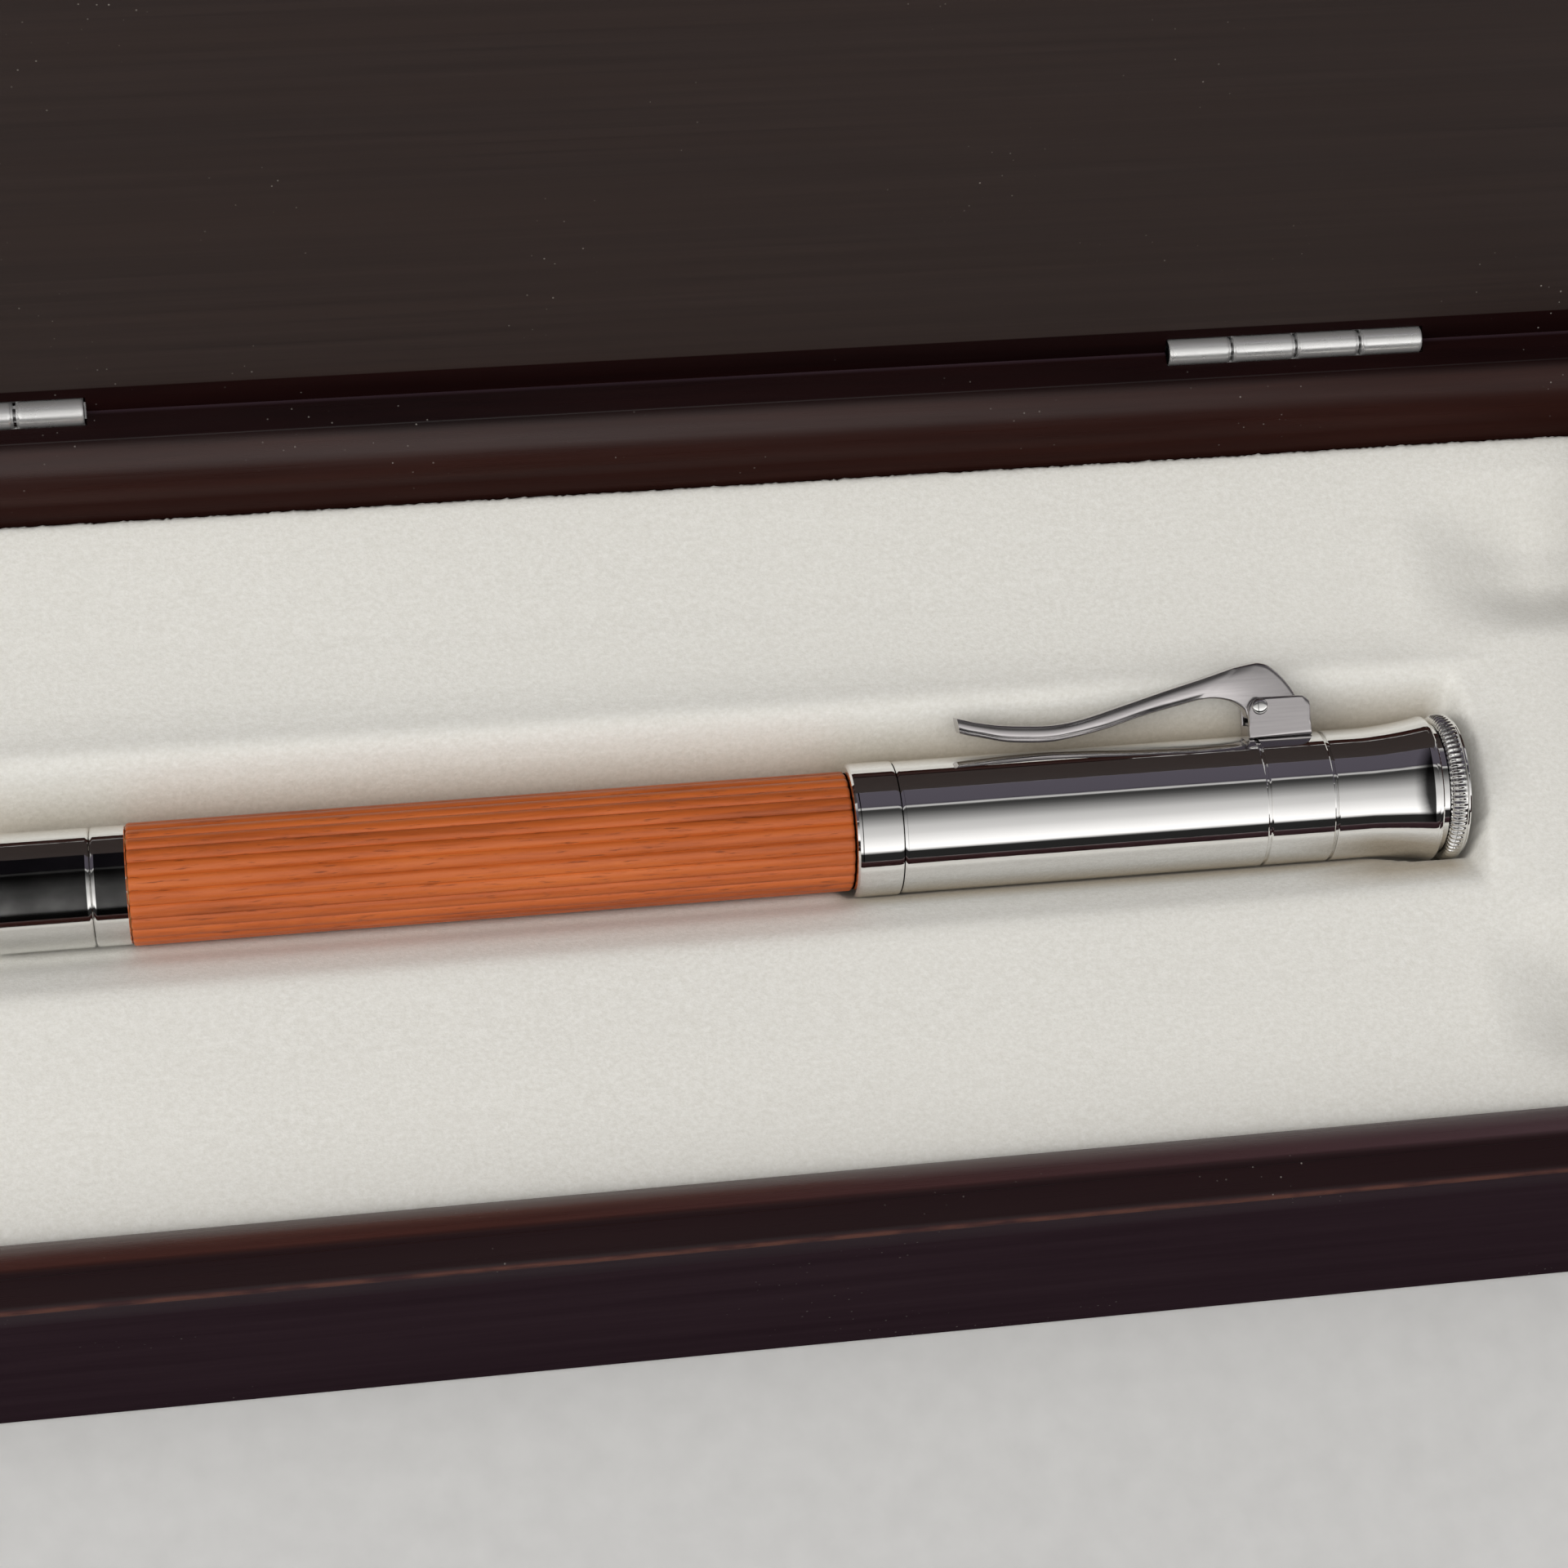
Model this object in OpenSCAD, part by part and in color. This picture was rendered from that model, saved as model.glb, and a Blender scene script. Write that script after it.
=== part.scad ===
// Fountain pen case: a lacquered wooden box, lid open, velour bed, with the pen lying in it.
// Millimetres, +Z up. Origin: centre of the underside. +X along the case, +Y to the hinges.

/* [Case] */
// outer length of the case
case_l = 200; // [190:1:220]
// outer depth of the case, front to hinge side
case_w = 84; // [80:1:92]
// height of the base from the table to the rim
base_h = 37; // [36:0.5:42]
// thickness of the lid board
lid_t = 12; // [9:0.5:16]
// thickness of the four walls
wall_t = 7.6; // [6.5:0.1:9]
// width of the flat land on top of the walls
land_w = 3; // [2.4:0.1:4]
// height of the rounded inner edge of the walls
ovolo_h = 6.8; // [5:0.1:8]
// angle of the open lid from closed
lid_open = 117; // [95:1:125]

/* [Bed] */
// half distance between the two crests beside the pen
crest_y = 11; // [10.5:0.1:11.6]
// thickness of the velour skin
skin_t = 1; // [0.6:0.1:1.4]
// depth of the wells at the four ends of the bed
well_d = 7; // [3:0.5:9]

/* [Hinges] */
// distance of each hinge from the middle of the case
hinge_x = 63.2; // [50:0.5:75]
// outside radius of the hinge barrel
barrel_r = 1.1; // [0.9:0.05:1.1]

/* [Pen] */
// height of the pen axis over the table
pen_z = 26.1; // [25.8:0.1:26.6]
// radius of the cap
cap_r = 6.15; // [5.95:0.05:6.2]
// radius of the wooden barrel over its ribs
wood_r = 5.55; // [5.4:0.05:5.6]
// number of ribs round the wooden barrel
rib_count = 25; // [18:1:30]
// angle of the clip above the horizontal
clip_tilt = 26; // [24:1:32]

/* [Hidden] */
$fn = 96;
eps = 0.01;
glue = 0.01;                        // half of each glue line
foot = 0.6;                         // felt thickness, and height of the walls over the table
floor_t = 4;
floor_top = foot + floor_t;
pocket_r = 1.25;                    // mortise for the hinge barrels
end_y = 13.2;                       // half width of the blocks that close the groove
axis_y = case_w / 2;
in_x = case_l / 2 - wall_t;         // half inner length
in_y = case_w / 2 - wall_t;         // half inner depth
tray_gap = 0.15;
tray_z = 9;                         // underside of the tray core
shelf_z = base_h - ovolo_h;         // height of the bed where it meets the walls
pen_y = -0.3;
pen_end = 74.3;                     // X of the crown end
pen_len = 139;
knuckle_gap = 0.3;
hinge_l = 25;
knuckle_l = (hinge_l - 3 * knuckle_gap) / 4;
hpin_r = 0.55;
leaf_t = 0.8;
leaf_d = 9;
brad_r = 0.4;
brad_s = 3.6;                       // distance of each brad from the rim plane
groove_l = -84;                     // left and right ends of the pen groove
groove_r = 76;

wood_c = [0.13, 0.06, 0.05];
panel_c = [0.2, 0.15, 0.14];
velour_c = [0.86, 0.84, 0.8];
metal_c = [0.8, 0.8, 0.8];

// ---------- frames ----------
module lid_frame()
  translate([0, axis_y, base_h]) rotate([-lid_open, 0, 0]) translate([0, -axis_y, -base_h])
    children();

// pen pieces are drawn along +Z from the crown end and laid along -X
module pen_frame() translate([pen_end, pen_y, pen_z]) rotate([0, -90, 0]) children();

module lathe(p) rotate_extrude() polygon(p);

// clip pieces are drawn as [radius, distance from the crown end]
module clip_plate(w) rotate([0, 0, 90 - clip_tilt]) rotate([90, 0, 0])
  linear_extrude(w, center = true) children();

// ---------- walls ----------
// wall section: x from the outer face inward, y up
function ovolo() = [for (a = [20 : 7 : 90])
  [land_w + (wall_t - land_w) * (sin(a) - sin(20)) / (1 - sin(20)),
   base_h - ovolo_h * (cos(20) - cos(a)) / cos(20)]];
function arris() = [for (a = [0 : 22.5 : 90]) [0.6 - 0.6 * cos(a), base_h - 0.6 + 0.6 * sin(a)]];

module wall_section(top)
  polygon(concat([[0, foot]], top, ovolo(),
    [[wall_t, floor_top + 0.05], [wall_t - 3.6, floor_top + 0.05], [wall_t - 3.6, foot]]));

module mitred(len, top) intersection() {
  translate([-len / 2, 0, 0]) rotate([90, 0, 90]) linear_extrude(len) wall_section(top);
  linear_extrude(base_h + 1)
    polygon([[-len / 2 + glue, 0], [len / 2 - glue, 0],
      [len / 2 - wall_t - glue, wall_t + eps], [-len / 2 + wall_t + glue, wall_t + eps]]);
}

module base_front_wall() color(wood_c)
  translate([0, -case_w / 2, 0]) mitred(case_l, arris());

module base_back_wall() color(wood_c) difference() {
  translate([0, case_w / 2, 0]) mirror([0, 1, 0])
    mitred(case_l, [[0, base_h - 0.15], [0.15, base_h]]);
  for (s = [-1, 1]) translate([s * hinge_x, axis_y, base_h]) {
    pocket(s);
    kerf(225);
    brad_holes(-brad_s);
  }
}

module side_wall() rotate([0, 0, 90]) translate([0, -case_l / 2, 0]) mitred(case_w, arris());
module base_right_wall() color(wood_c) side_wall();
module base_left_wall() color(wood_c) mirror([1, 0, 0]) side_wall();

module base_floor() color(panel_c)
  translate([-in_x - 3.5, -in_y - 3.5, foot]) cube([2 * in_x + 7, 2 * in_y + 7, floor_t]);

module felt_pad() color([0.1, 0.1, 0.11])
  translate([-case_l / 2 + 2, -case_w / 2 + 2, 0]) cube([case_l - 4, case_w - 4, foot]);

module tray_support_rails() color(panel_c) for (s = [-1, 1])
  translate([-in_x + 4, s * (in_y - 3.2) - 3, floor_top]) cube([2 * in_x - 8, 6, tray_z - floor_top]);

// ---------- bed ----------
// half section of the bed from the bottom of the groove to the wall
function half_bed() = concat(
  [for (a = [0 : 7.5 : 60]) [5.7 * sin(a), pen_z - 5.7 * cos(a)]],
  [[6.6, 24.6], [7.6, 25.8], [8.6, 27], [9.6, 28.2], [10.3, 29.05], [crest_y, 29.4],
   [11.9, 29.4], [13.5, 29], [15.5, 28.7], [18, 28.65], [22, 28.8], [27, 29.3], [31, 29.8]]);
function bed_line(t) = let (h = half_bed(), n = len(h)) concat(
  [[-in_y + tray_gap, shelf_z - t]],
  [for (i = [n - 1 : -1 : 1]) [pen_y - h[i][0], h[i][1] - t]],
  [for (p = h) [pen_y + p[0], p[1] - t]],
  [[in_y - tray_gap, shelf_z - t]]);

module well_cut(t) {
  x0 = 70;
  x1 = in_x + 1;
  side = end_y + 0.9 - t;
  for (m = [0, 1], n = [0, 1]) mirror([m, 0, 0]) mirror([0, n, 0])
    translate([0, side + in_y, 0]) rotate([90, 0, 0]) linear_extrude(in_y)
      polygon(concat([[x0, base_h + 5]],
        [for (k = [0 : 1 : 12]) [x0 + (x1 - x0) * k / 12,
          32 - t - (well_d + 3) * (1 - cos(180 * min(1, k / 9))) / 2]],
        [[x1, base_h + 5]]));
}

// everything under the bed surface, lowered by t, down to the tray's underside
module bed_solid(t) difference() {
  translate([-in_x + tray_gap, 0, 0]) rotate([90, 0, 90]) linear_extrude(2 * (in_x - tray_gap))
    polygon(concat([[-in_y + tray_gap, tray_z]], bed_line(t), [[in_y - tray_gap, tray_z]]));
  well_cut(t);
  pen_frame() {
    cylinder(h = 59.5, r = cap_r + 0.15 + t);
    translate([0, 0, -1.7 + t]) cylinder(h = 11.5, r = 7.15 + t);
  }
}

// blocks that close the groove at both ends
module groove_ends(t) intersection() {
  union() {
    translate([groove_r + t, pen_y - end_y, tray_z]) cube([in_x - tray_gap - groove_r - t,
      2 * end_y, shelf_z - 0.4 - t - tray_z]);
    translate([-in_x + tray_gap, pen_y - end_y, tray_z]) cube([in_x - tray_gap + groove_l - t,
      2 * end_y, shelf_z - 0.4 - t - tray_z]);
  }
  translate([-case_l, -end_y + t, 0]) cube([2 * case_l, 2 * end_y - 2 * t, base_h]);
}

module bed_body(t) union() {
  bed_solid(t);
  groove_ends(t);
}

module tray_core() color([0.75, 0.73, 0.7]) bed_body(skin_t);
module velour_lining() color(velour_c) difference() {
  bed_body(0);
  bed_body(skin_t);
}

// ---------- lid ----------
module rounded_slab(l, w) rotate([90, 0, 90]) translate([0, 0, -l / 2]) linear_extrude(l) {
  r = 2.5;
  translate([-w / 2, 0.08]) square([w, lid_t - r - 0.08]);
  translate([-w / 2 + r, lid_t - r - eps]) square([w - 2 * r, r + eps]);
  for (s = [-1, 1]) translate([s * (w / 2 - r), lid_t - r]) circle(r = r);
}

module lid_board() color(wood_c) lid_frame() difference() {
  translate([0, 0, base_h]) intersection() {
    rounded_slab(case_l, case_w);
    rotate([0, 0, 90]) rounded_slab(case_w, case_l);
  }
  for (s = [-1, 1]) translate([s * hinge_x, axis_y, base_h]) {
    pocket(s);
    kerf(135);
    brad_holes(brad_s);
  }
}

// ---------- hinges ----------
// drawn round the hinge axis; a is the direction of the leaf in the YZ plane
module leaf_plate(a, l, t, r0, r1)
  translate([-l / 2, 0, 0]) rotate([a, 0, 0]) translate([0, r0, -t / 2]) cube([l, r1 - r0, t]);
module kerf(a) leaf_plate(a, hinge_l + 0.3, leaf_t + 0.04, 1, leaf_d + 0.1);
// round mortise for the barrel, longer on the side towards the middle of the case
module pocket(side) translate([side < 0 ? -hinge_l / 2 - 0.2 : -hinge_l / 2 - 1.7, 0, 0])
  rotate([0, 90, 0]) cylinder(h = hinge_l + 1.9, r = pocket_r, $fn = 48);
module brad_holes(z) for (s = [-1, 1]) translate([s * 8, 0, z]) {
  rotate([90, 0, 0]) translate([0, 0, -1]) cylinder(h = 7.1, r = brad_r, $fn = 24);
  rotate([90, 0, 0]) translate([0, 0, -1]) cylinder(h = 1.3, r = 0.75, $fn = 24);
}
module brads(z) for (x = [-1, 1], s = [-1, 1])
  translate([x * hinge_x + s * 8, axis_y, base_h + z]) rotate([90, 0, 0]) {
    cylinder(h = 6, r = brad_r - 0.005, $fn = 24);
    translate([0, 0, 0.05]) cylinder(h = 0.24, r = 0.74, $fn = 24);
  }

module leaf(a, first, bore_r, z) difference() {
  pitch = knuckle_l + knuckle_gap;
  translate([-hinge_l / 2, 0, 0]) rotate([90, 0, 90]) linear_extrude(hinge_l) {
    circle(r = barrel_r);
    rotate(a) translate([0, -leaf_t / 2]) square([leaf_d, leaf_t]);
  }
  translate([-hinge_l, 0, 0]) rotate([0, 90, 0]) cylinder(h = 2 * hinge_l, r = bore_r, $fn = 48);
  for (i = [1 - first, 3 - first])
    translate([-hinge_l / 2 + i * pitch - knuckle_gap, 0, 0]) rotate([0, 90, 0])
      cylinder(h = knuckle_l + 2 * knuckle_gap, r = barrel_r + 0.15, $fn = 48);
  for (s = [-1, 1]) translate([s * 8, 2, z]) rotate([90, 0, 0])
    cylinder(h = 9, r = brad_r, $fn = 24);
}
module base_leaf(s) color(metal_c) translate([s * hinge_x, axis_y, base_h])
  leaf(225, 0, hpin_r + 0.01, -brad_s);
module lid_leaf(s) color(metal_c) lid_frame() translate([s * hinge_x, axis_y, base_h])
  leaf(135, 1, hpin_r + 0.04, brad_s);
module hinge_pin(s) color(metal_c) translate([s * hinge_x - hinge_l / 2, axis_y, base_h])
  rotate([0, 90, 0]) cylinder(h = hinge_l, r = hpin_r, $fn = 48);

module hinge_base_leaf_left() base_leaf(-1);
module hinge_base_leaf_right() base_leaf(1);
module hinge_lid_leaf_left() lid_leaf(-1);
module hinge_lid_leaf_right() lid_leaf(1);
module hinge_pin_left() hinge_pin(-1);
module hinge_pin_right() hinge_pin(1);
module hinge_base_brads() color(metal_c) brads(-brad_s);
module hinge_lid_brads() color(metal_c) lid_frame() brads(brad_s);

// ---------- pen: barrel side ----------
wood_s = [58.6, 123.8];             // wooden barrel, distances from the crown end
module barrel_wood() color([0.72, 0.33, 0.17]) pen_frame()
  translate([0, 0, wood_s[0]]) linear_extrude(wood_s[1] - wood_s[0]) difference() {
    union() {
      circle(r = wood_r - 0.42);
      for (i = [0 : rib_count - 1]) rotate(i * 360 / rib_count)
        translate([wood_r - 0.66, 0]) circle(r = 0.66, $fn = 24);
    }
    circle(r = 4.51);
  }

module barrel_tube() color([0.75, 0.62, 0.3]) pen_frame() translate([0, 0, 59])
  difference() {
    cylinder(h = 68, r = 4.5);
    translate([0, 0, -1]) cylinder(h = 70, r = 4.05);
  }

module barrel_end_ring() color(metal_c) pen_frame()
  lathe([[4.52, 123.85], [5.4, 123.85], [5.4, 126.85], [5.25, 127], [4.52, 127]]);

module barrel_end_cap() color(metal_c) pen_frame()
  lathe(concat([[0, 124], [4.03, 124], [4.03, 127.05], [5.25, 127.05], [5.4, 127.2], [5.4, 134]],
    [for (a = [0 : 10 : 90]) [1.5 + 3.9 * cos(a), 135.4 + 3.6 * sin(a)]], [[0, pen_len]]));

module grip_section() color([0.05, 0.05, 0.055]) pen_frame()
  lathe([[3.26, 32], [4.2, 32], [4.45, 32.6], [4.2, 35], [4.3, 42], [4.7, 50], [5.1, 54.5],
    [5.1, 55.9], [4.0, 55.9], [4.0, 64], [3.3, 64], [3.3, 44], [3.26, 44]]);

module section_ring() color(metal_c) pen_frame()
  lathe([[4.02, 55.95], [5.15, 55.95], [5.15, 58.5], [4.02, 58.5]]);

module nib() color([0.85, 0.75, 0.5]) pen_frame() difference() {
  union() {
    translate([0, 0, 26]) cylinder(h = 14, r = 3.22);
    translate([0, 0, 15]) cylinder(h = 11.01, r1 = 0.35, r2 = 3.22);
  }
  translate([0, 0, 25.99]) cylinder(h = 15, r = 3.0);
  translate([0, 0, 15.8]) cylinder(h = 10.2, r1 = 0.2, r2 = 3.0);
  translate([-8, -5, 0]) cube([8, 10, 50]);
  translate([0, -0.06, 14]) cube([5, 0.12, 7]);
  translate([0, 0, 21.3]) rotate([0, 90, 0]) cylinder(h = 5, r = 0.7, $fn = 32);
}

module feed() color([0.06, 0.06, 0.06]) pen_frame() difference() {
  union() {
    translate([0, 0, 26]) cylinder(h = 17.9, r = 2.95);
    translate([0, 0, 18]) cylinder(h = 8.01, r1 = 1, r2 = 2.6);
  }
  translate([-0.3, -5, 10]) cube([8, 10, 16]);
  for (i = [0 : 4]) translate([-4, -4, 19.2 + i * 1.4]) cube([2.6, 8, 0.5]);
  translate([0, 0, 20]) cylinder(h = 30, r = 0.5, $fn = 24);
}

module ink_converter() color([0.5, 0.55, 0.6]) pen_frame() difference() {
  lathe([[0, 44.2], [3.25, 44.2], [3.25, 66], [3.6, 66], [3.6, 76], [3.3, 76], [3.3, 106],
    [2.6, 106], [2.6, 116], [0, 116]]);
  translate([0, 0, 44]) cylinder(h = 50, r = 2.5);
}

// ---------- pen: cap side ----------
seam_s = 13.2;                      // ring groove where crown and cap tube meet
ring_s = 19.6;                      // second ring groove
module cap_tube() color(metal_c) pen_frame() lathe([[5.4, seam_s], [cap_r - 0.18, seam_s],
  [cap_r - 0.18, seam_s + 0.15], [cap_r, seam_s + 0.25], [cap_r, ring_s - 0.2],
  [cap_r - 0.18, ring_s - 0.1], [cap_r - 0.18, ring_s + 0.1], [cap_r, ring_s + 0.2],
  [cap_r, 54.1], [5.4, 54.1]]);

module cap_mouth_ring() color(metal_c) pen_frame()
  lathe([[5.4, 54.15], [cap_r - 0.1, 54.15], [cap_r + 0.08, 54.35], [cap_r + 0.08, 58.2],
    [cap_r - 0.15, 58.5], [5.4, 58.5]]);

module inner_cap() color([0.1, 0.1, 0.1]) pen_frame()
  lathe([[0, 13.25], [5.38, 13.25], [5.38, 43], [4.85, 43], [4.85, 14], [0, 14]]);

module cap_crown() color(metal_c) pen_frame()
  lathe(concat([[0, 2.3], [6.15, 2.3], [6.15, 2.95], [6.75, 3.05], [6.85, 3.25], [6.85, 3.5]],
    [for (k = [1 : 9]) [cap_r + 0.65 * pow(1 - k / 9, 1.7), 3.5 + 6 * k / 9]],
    [[cap_r, seam_s - 0.25], [cap_r - 0.18, seam_s - 0.15], [cap_r - 0.18, seam_s - 0.03],
     [5.2, seam_s - 0.03], [0, seam_s - 0.15]]));

module crown_knurled_ring() color(metal_c) pen_frame() translate([0, 0, 0.65])
  linear_extrude(1.6) difference() {
    union() {
      circle(r = 6.75);
      for (i = [0 : 79]) rotate(i * 4.5) translate([6.73, 0]) circle(r = 0.2, $fn = 12);
    }
    circle(r = 5.6);
  }

module crown_end_disc() color(metal_c) pen_frame()
  lathe([[0, 2.25], [5.58, 2.25], [5.58, 0.6], [6.6, 0.6], [6.55, 0.35], [5.6, 0.15], [4, 0.05],
    [0, 0]]);

// clip, drawn as [radius, distance from the crown end]
pivot = [8.95, 19.1];
module clip_bracket() color(metal_c) pen_frame() difference() {
  clip_plate(3.7) polygon([[cap_r - 0.5, 14.2], [8.7, 14.1], [9.4, 14.4], [9.75, 15.1],
    [9.75, 19.2], [9.55, 19.8], [9, 20.1], [cap_r - 0.5, 20.2]]);
  clip_plate(2.5) polygon([[7.1, 10], [12, 10], [12, 26], [7.1, 26]]);
  translate([0, 0, 10]) cylinder(h = 15, r = cap_r + 0.01);
  clip_plate(5) translate(pivot) circle(r = 0.46, $fn = 32);
}

module clip_lever() color(metal_c) pen_frame() clip_plate(2.4) difference() {
  polygon([[9.2, 47.3], [8.9, 46.1], [8.55, 43.8], [8.33, 41.5], [8.28, 38.8], [8.7, 36],
    [9.8, 32.05], [10.9, 28.1], [11.9, 24.1], [12.7, 21.1], [13, 19.3], [13.03, 18.7],
    [12.75, 17.9], [11.65, 16.6], [10.6, 15.8], [9.7, 15.3], [8.6, 15], [7.8, 15.2], [7.6, 16],
    [7.6, 19.5], [7.95, 20.1], [8.75, 20.4], [9.5, 21.45], [9.9, 22.9], [9.92, 24.4],
    [9.5, 26.6], [8.75, 30.15], [7.7, 34.1], [7.1, 37.65], [7.0, 39.6], [7.15, 41.9],
    [7.6, 43.85], [8.3, 45.7], [8.8, 46.9]]);
  translate(pivot) circle(r = 0.5, $fn = 32);
}

module clip_pin() color(metal_c) pen_frame() rotate([0, 0, 90 - clip_tilt])
  translate([pivot[0], 0, pivot[1]]) rotate([90, 0, 0])
    cylinder(h = 3.8, r = 0.45, center = true, $fn = 32);

module clip_spring() color(metal_c) pen_frame() clip_plate(1.6)
  polygon([[7.13, 14.4], [7.35, 14.4], [7.3, 17], [7.35, 19.9], [7.13, 19.9], [7.12, 17]]);

// ---------- output ----------
base_front_wall();
base_back_wall();
base_left_wall();
base_right_wall();
base_floor();
felt_pad();
tray_support_rails();
tray_core();
velour_lining();
lid_board();
hinge_base_leaf_left();
hinge_base_leaf_right();
hinge_lid_leaf_left();
hinge_lid_leaf_right();
hinge_pin_left();
hinge_pin_right();
hinge_base_brads();
hinge_lid_brads();
barrel_wood();
barrel_tube();
barrel_end_ring();
barrel_end_cap();
grip_section();
section_ring();
nib();
feed();
ink_converter();
cap_tube();
cap_mouth_ring();
inner_cap();
cap_crown();
crown_knurled_ring();
crown_end_disc();
clip_bracket();
clip_lever();
clip_pin();
clip_spring();
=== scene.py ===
import math

import bmesh
import bpy
import numpy as np
from mathutils import Matrix, Vector


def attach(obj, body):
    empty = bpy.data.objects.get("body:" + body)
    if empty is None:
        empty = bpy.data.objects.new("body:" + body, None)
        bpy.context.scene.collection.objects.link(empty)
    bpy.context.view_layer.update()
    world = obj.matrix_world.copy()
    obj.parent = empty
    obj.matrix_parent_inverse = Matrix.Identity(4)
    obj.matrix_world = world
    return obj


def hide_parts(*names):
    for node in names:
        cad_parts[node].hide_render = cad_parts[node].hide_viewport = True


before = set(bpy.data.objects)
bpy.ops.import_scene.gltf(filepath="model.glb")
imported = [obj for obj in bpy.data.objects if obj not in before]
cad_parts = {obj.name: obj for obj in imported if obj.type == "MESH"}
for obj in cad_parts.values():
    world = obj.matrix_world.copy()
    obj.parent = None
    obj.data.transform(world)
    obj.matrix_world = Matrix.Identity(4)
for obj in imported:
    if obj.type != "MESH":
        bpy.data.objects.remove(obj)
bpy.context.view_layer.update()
MM = 0.001

# ---------------------------------------------------------------- sizes, as in the CAD (mm)
CASE_L, CASE_W, BASE_H, LID_T = 200.0, 84.0, 37.0, 12.0
WALL_T, LAND_W, OVOLO_H, FOOT = 7.6, 3.0, 6.8, 0.6
LID_OPEN = 117.0
STRIP_W, POCKET_R, POCKET_END = 2.4, 1.45, 0.2
AXIS_Y = CASE_W / 2
IN_X, IN_Y = CASE_L / 2 - WALL_T, CASE_W / 2 - WALL_T
PEN_END, PEN_Y, PEN_Z, PEN_LEN = 74.3, -0.3, 26.1, 139.0
CAP_R, WOOD_R, RIBS = 6.15, 5.55, 25
CLIP_TILT = 26.0
HINGE_X, HINGE_L = 63.2, 25.0
KNUCKLE_R, KNUCKLE_GAP = 1.28, 0.3
KNUCKLE_L = (HINGE_L - 3 * KNUCKLE_GAP) / 4
RNG = np.random.default_rng(7)


# ---------------------------------------------------------------- node helpers
class Nodes:
    """A node tree: short calls that add a node and return its output socket."""

    def __init__(self, tree, coordinate):
        self.t = tree
        self.n = tree.nodes
        self.coordinate = coordinate
        self._place = None

    def link(self, a, b):
        self.t.links.new(a, b)

    def put(self, sock, v):
        if isinstance(v, bpy.types.NodeSocket):
            self.link(v, sock)
        elif isinstance(v, (tuple, list)):
            alpha = (1,) if len(sock.default_value) == 4 and len(v) == 3 else ()
            sock.default_value = tuple(v) + alpha
        else:
            sock.default_value = v

    def place(self):
        """The coordinates that every pattern of this tree follows."""
        if self._place is None:
            self._place = self.n.new("ShaderNodeTexCoord").outputs[self.coordinate]
        return self._place

    def mapping(self, scale):
        k = self.n.new("ShaderNodeMapping")
        self.link(self.place(), k.inputs["Vector"])
        k.inputs["Scale"].default_value = scale
        return k.outputs[0]

    def noise(self, scale, detail=4, rough=0.5, vec=None, distort=0.0):
        k = self.n.new("ShaderNodeTexNoise")
        self.link(vec or self.place(), k.inputs["Vector"])
        k.inputs["Scale"].default_value = scale
        k.inputs["Detail"].default_value = detail
        k.inputs["Roughness"].default_value = rough
        k.inputs["Distortion"].default_value = distort
        return k.outputs["Fac"]

    def grain(self, scale, detail, rough, distort=0.0):
        """Noise with its own scale along each axis."""
        return self.noise(1.0, detail, rough, self.mapping(scale), distort)

    def voronoi(self, scale):
        k = self.n.new("ShaderNodeTexVoronoi")
        self.link(self.place(), k.inputs["Vector"])
        k.inputs["Scale"].default_value = scale
        return k.outputs["Distance"]

    def ramp(self, fac, stops):
        k = self.n.new("ShaderNodeValToRGB")
        elements = k.color_ramp.elements
        while len(elements) < len(stops):
            elements.new(0.5)
        for element, (position, c) in zip(elements, stops):
            element.position = position
            element.color = (c, c, c, 1) if isinstance(c, (int, float)) else tuple(c) + (1,)
        self.link(fac, k.inputs[0])
        return k.outputs[0]

    def mix(self, fac, a, b, mode="MIX"):
        k = self.n.new("ShaderNodeMix")
        k.data_type = "RGBA"
        k.blend_type = mode
        self.put(k.inputs["Factor"], fac)
        self.put(k.inputs[6], a)
        self.put(k.inputs[7], b)
        return k.outputs[2]

    def math(self, op, a, b=0.0):
        k = self.n.new("ShaderNodeMath")
        k.operation = op
        self.put(k.inputs[0], a)
        self.put(k.inputs[1], b)
        return k.outputs[0]

    def times(self, a, b):
        return self.math("MULTIPLY", a, b)

    def range(self, v, a, b, c, d):
        """Maps a..b to c..d, clamped."""
        k = self.n.new("ShaderNodeMapRange")
        self.put(k.inputs[0], v)
        for i, x in enumerate((a, b, c, d)):
            self.put(k.inputs[i + 1], x)
        return k.outputs[0]

    def band(self, v, a, b, c, d):
        """1 from b to c, falling to 0 at a and at d."""
        return self.times(self.range(v, a, b, 0.0, 1.0), self.range(v, c, d, 1.0, 0.0))

    def sep(self):
        k = self.n.new("ShaderNodeSeparateXYZ")
        self.link(self.place(), k.inputs[0])
        return k.outputs

    def dot(self, v):
        k = self.n.new("ShaderNodeVectorMath")
        k.operation = "DOT_PRODUCT"
        self.link(self.place(), k.inputs[0])
        k.inputs[1].default_value = v
        return k.outputs["Value"]

    def scaled(self, vec, factor):
        k = self.n.new("ShaderNodeVectorMath")
        k.operation = "SCALE"
        self.link(vec, k.inputs[0])
        self.link(factor, k.inputs["Scale"])
        return k.outputs[0]

    def bump(self, height, dist, strength=1.0, normal=None):
        k = self.n.new("ShaderNodeBump")
        self.link(height, k.inputs["Height"])
        k.inputs["Distance"].default_value = dist
        k.inputs["Strength"].default_value = strength
        if normal is not None:
            self.link(normal, k.inputs["Normal"])
        return k.outputs[0]


class Mat(Nodes):
    """A node material in object coordinates."""

    def __init__(self, name):
        self.m = bpy.data.materials.new(name)
        self.m.use_nodes = True
        super().__init__(self.m.node_tree, "Object")

    def set(self, **kw):
        for key, v in kw.items():
            self.put(self.n["Principled BSDF"].inputs[key.replace("_", " ")], v)
        return self.m


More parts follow.
